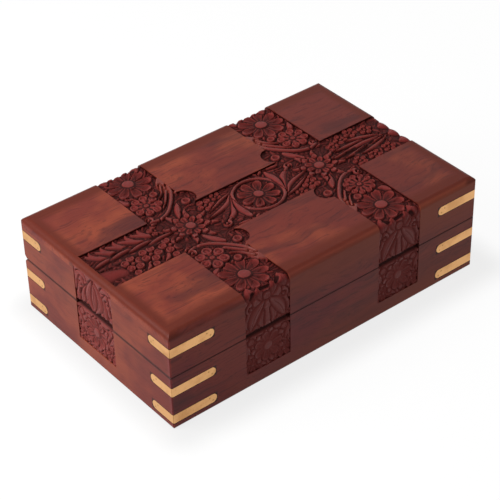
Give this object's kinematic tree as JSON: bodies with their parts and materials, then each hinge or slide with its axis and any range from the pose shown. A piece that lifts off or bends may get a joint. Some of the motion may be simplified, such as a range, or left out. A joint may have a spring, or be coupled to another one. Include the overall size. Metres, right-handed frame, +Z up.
{
  "type": "wooden puzzle box",
  "caption": "Carved wooden puzzle box with a hinged lid, inlaid brass corner strips and a hidden lock worked by pushing its bottom panel sideways.",
  "frame": {"origin": "centre of the footprint, on the underside of the walls", "axes": "+X along the box's length to the right, +Y to the hinges at the back, +Z up"},
  "size_m": [0.203, 0.127, 0.059],
  "materials": {
    "carved_wood": "waxed red-brown hardwood, polished on the plain panels",
    "panel_wood": "planed hardwood panel",
    "strip_brass": "sanded flush with the wood",
    "hardware_brass": "plain sheet brass",
    "felt": "wine red felt"
  },
  "bodies": {
    "base": {"base_floor": "panel_wood", "base_lining": "felt", "base_lower_strip_back_left_back_leg": "strip_brass", "base_lower_strip_back_left_left_leg": "strip_brass", "base_lower_strip_back_right_back_leg": "strip_brass", "base_lower_strip_back_right_right_leg": "strip_brass", "base_lower_strip_front_left_front_leg": "strip_brass", "base_lower_strip_front_left_left_leg": "strip_brass", "base_lower_strip_front_right_front_leg": "strip_brass", "base_lower_strip_front_right_right_leg": "strip_brass", "base_upper_strip_back_left_back_leg": "strip_brass", "base_upper_strip_back_left_left_leg": "strip_brass", "base_upper_strip_back_right_back_leg": "strip_brass", "base_upper_strip_back_right_right_leg": "strip_brass", "base_upper_strip_front_left_front_leg": "strip_brass", "base_upper_strip_front_left_left_leg": "strip_brass", "base_upper_strip_front_right_front_leg": "strip_brass", "base_upper_strip_front_right_right_leg": "strip_brass", "base_wall_back": "carved_wood", "base_wall_front": "carved_wood", "base_wall_left": "carved_wood", "base_wall_right": "carved_wood", "hinge_base_leaf_left": "hardware_brass", "hinge_base_leaf_right": "hardware_brass", "hinge_pin_left": "hardware_brass", "hinge_pin_right": "hardware_brass"},
    "lid": {"hinge_lid_leaf_left": "hardware_brass", "hinge_lid_leaf_right": "hardware_brass", "lid_catch": "hardware_brass", "lid_rail_back": "carved_wood", "lid_rail_front": "carved_wood", "lid_rail_left": "carved_wood", "lid_rail_right": "carved_wood", "lid_strip_back_left_back_leg": "strip_brass", "lid_strip_back_left_left_leg": "strip_brass", "lid_strip_back_right_back_leg": "strip_brass", "lid_strip_back_right_right_leg": "strip_brass", "lid_strip_front_left_front_leg": "strip_brass", "lid_strip_front_left_left_leg": "strip_brass", "lid_strip_front_right_front_leg": "strip_brass", "lid_strip_front_right_right_leg": "strip_brass", "lid_top_board": "carved_wood"},
    "slide": {"bottom_slide": "panel_wood", "lock_bolt": "hardware_brass"}
  },
  "joints": [
    {"name": "lid_hinge", "type": "hinge", "parent": "base", "child": "lid", "pos_m": [0, 0.0612, 0.033], "axis": [-1, 0, 0], "range_deg": [0, 100]},
    {"name": "bottom_lock_slide", "type": "slide", "parent": "base", "child": "slide", "axis": [1, 0, 0], "range_m": [0, 0.0055]}
  ]
}
